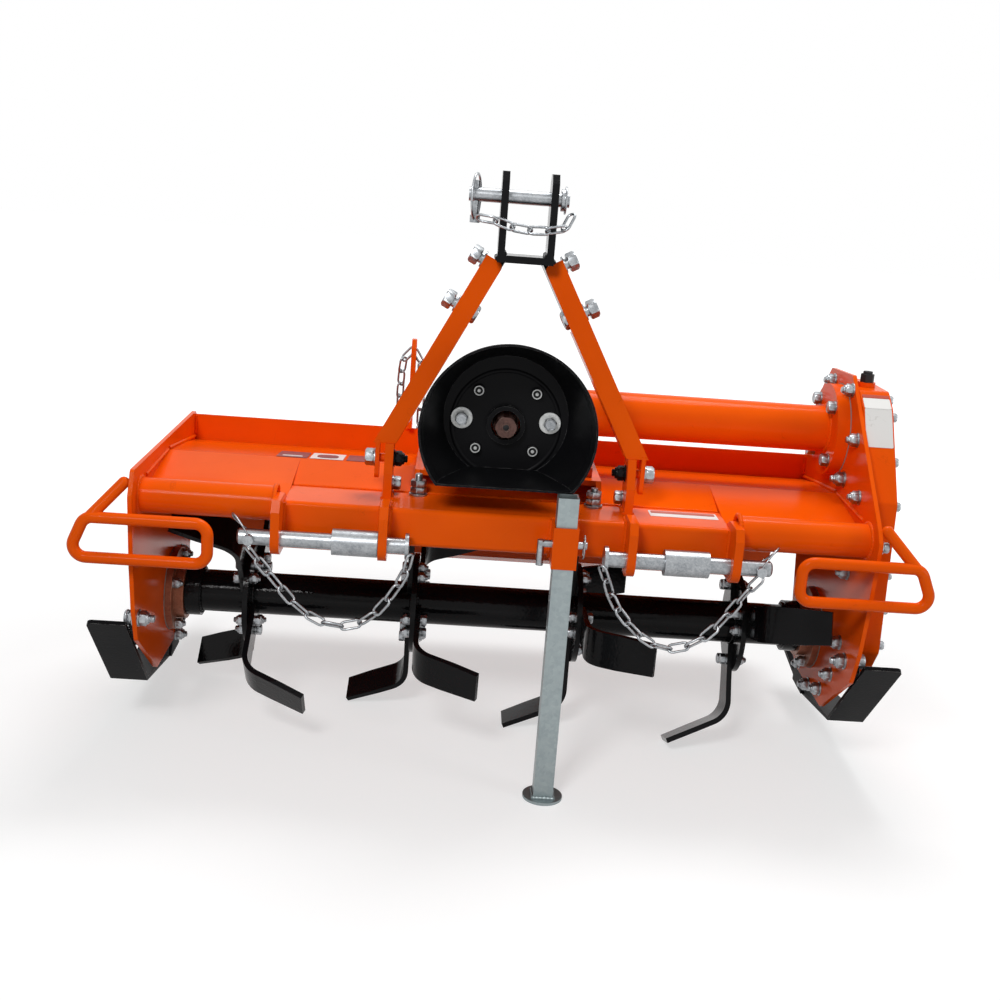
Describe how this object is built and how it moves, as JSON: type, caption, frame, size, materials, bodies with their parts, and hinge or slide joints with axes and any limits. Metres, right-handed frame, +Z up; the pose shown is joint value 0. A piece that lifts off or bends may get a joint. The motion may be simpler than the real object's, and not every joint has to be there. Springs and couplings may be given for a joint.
{
  "type": "rotary tiller",
  "caption": "Tractor-mounted rotary tiller with a three-point hitch, shielded input shaft, side gear case, bladed rotor, tailboard, guard loops and parking stand.",
  "frame": {"origin": "on the ground below the middle of the lower hitch pin axis", "axes": "+X to the gear-case side, along the rotor, +Y to the rear, +Z up"},
  "size_m": [1.1764, 0.626, 0.863],
  "materials": {
    "orange": "gloss",
    "black": "gloss",
    "zinc": "satin",
    "shield": "satin",
    "plug": "matte",
    "steel": "satin",
    "bearing": "satin"
  },
  "bodies": {
    "frame": {"side_plate_left": "orange", "side_plate_right": "orange", "front_beam": "orange", "front_tubes": "orange", "deck": "orange", "rear_plate": "orange", "gearbox_mount": "orange", "gearbox": "orange", "drive_tube": "orange", "gear_case": "orange", "mast_arms": "orange", "mast_lugs": "orange", "hitch_ears": "orange", "stand_socket": "orange", "guard_loop_left": "orange", "guard_loop_right": "orange", "tailboard_hinges": "orange", "chain_lug": "orange", "mast_clevis": "black", "clevis_legs": "black", "skid_left": "black", "skid_right": "black", "top_pin": "zinc", "lower_pin_left": "zinc", "lower_pin_right": "zinc", "pin_sleeves": "zinc", "linch_pins": "zinc", "stand_leg": "zinc", "stand_pin": "zinc", "pto_shield": "shield", "vent_plug": "plug", "bearing_housing_left": "bearing", "bearing_housing_right": "bearing"},
    "rotor": {"rotor_shaft": "black", "tine_flanges": "black", "tines_1": "black", "tines_2": "black", "tines_3": "black", "tines_4": "black"},
    "input_shaft": {"input_shaft": "steel"},
    "tailboard": {"tailboard": "orange"}
  },
  "joints": [
    {"name": "rotor_spin", "type": "hinge", "parent": "frame", "child": "rotor", "pos_m": [0, 0.238, 0.194], "axis": [1, 0, 0], "continuous": true},
    {"name": "input_shaft_spin", "type": "hinge", "parent": "frame", "child": "input_shaft", "pos_m": [-0.01, 0.1, 0.514], "axis": [0, 1, 0], "continuous": true},
    {"name": "tailboard_lift", "type": "hinge", "parent": "frame", "child": "tailboard", "pos_m": [0, 0.409, 0.388], "axis": [1, 0, 0], "range_deg": [0, 77]}
  ],
  "couplings": [
    {"joint": "input_shaft_spin", "follows": "rotor_spin", "ratio": -2.7}
  ]
}
